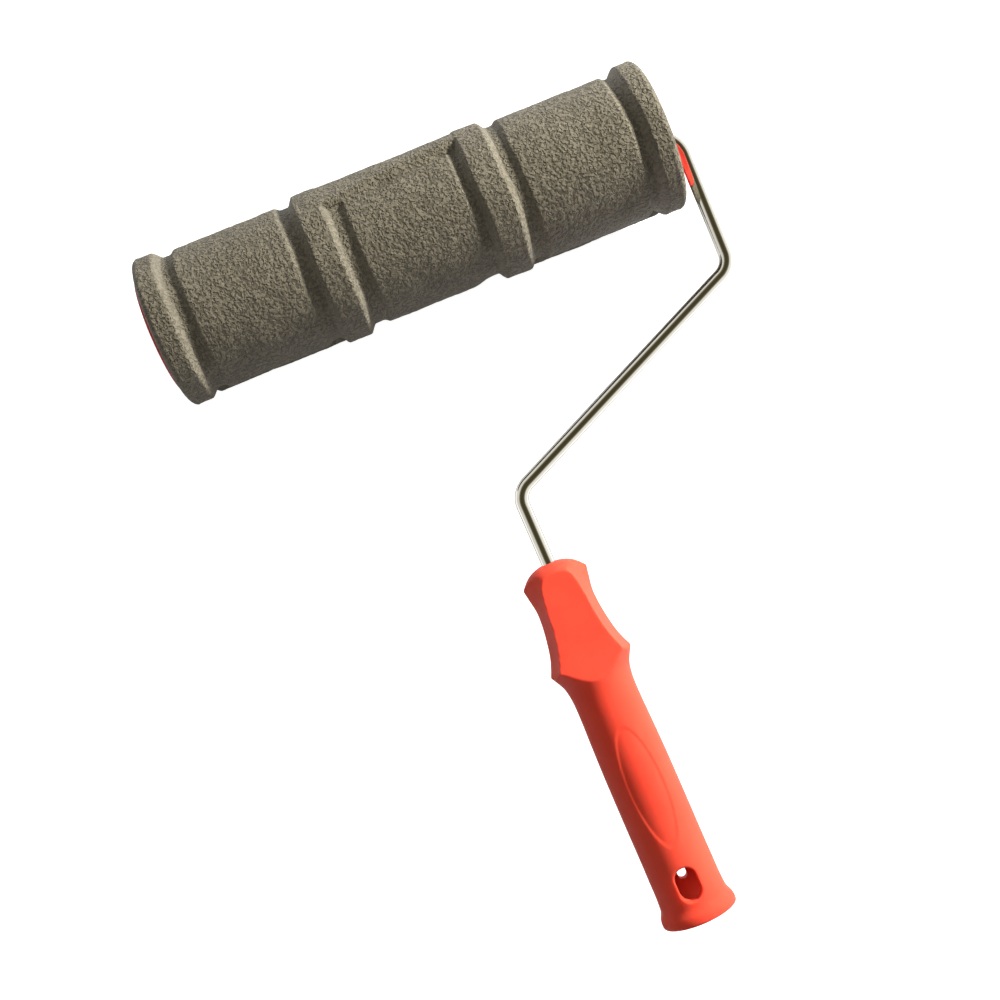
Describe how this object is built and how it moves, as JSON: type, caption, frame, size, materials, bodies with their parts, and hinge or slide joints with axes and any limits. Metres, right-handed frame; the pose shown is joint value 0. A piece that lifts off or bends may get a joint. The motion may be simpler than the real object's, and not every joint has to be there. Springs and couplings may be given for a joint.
{
  "type": "pattern roller",
  "caption": "Hand roller that presses a brick and mortar pattern into wet wall coating: a rubber sleeve spinning on a bent steel rod with a moulded grip.",
  "frame": {"origin": "middle of the pole socket's mouth, at the free end of the handle", "axes": "+Y up the tool from the handle to the roller, +X along the roller towards the side where the rod leaves it, +Z square to the frame's plane"},
  "size_m": [0.2472, 0.3598, 0.0688],
  "materials": {
    "sleeve_rubber": "matt, pebbled",
    "core_plastic": "plain",
    "cap_plastic": "satin",
    "handle_plastic": "fine satin",
    "bush_nylon": "waxy",
    "rod_chrome": "bright plated",
    "washer_steel": "zinc plated",
    "nut_steel": "blued spring steel"
  },
  "bodies": {
    "frame": {"frame_rod": "rod_chrome", "handle": "handle_plastic", "near_thrust_washer": "washer_steel", "far_thrust_washer": "washer_steel", "push_nut": "nut_steel"},
    "roller": {"pattern_sleeve": "sleeve_rubber", "core_tube": "core_plastic", "near_end_cap": "cap_plastic", "far_end_cap": "cap_plastic", "near_bush": "bush_nylon", "far_bush": "bush_nylon"}
  },
  "joints": [
    {"name": "roller_spin", "type": "hinge", "parent": "frame", "child": "roller", "pos_m": [-0.0054, 0.325, 0], "axis": [1, 0, 0], "continuous": true}
  ]
}
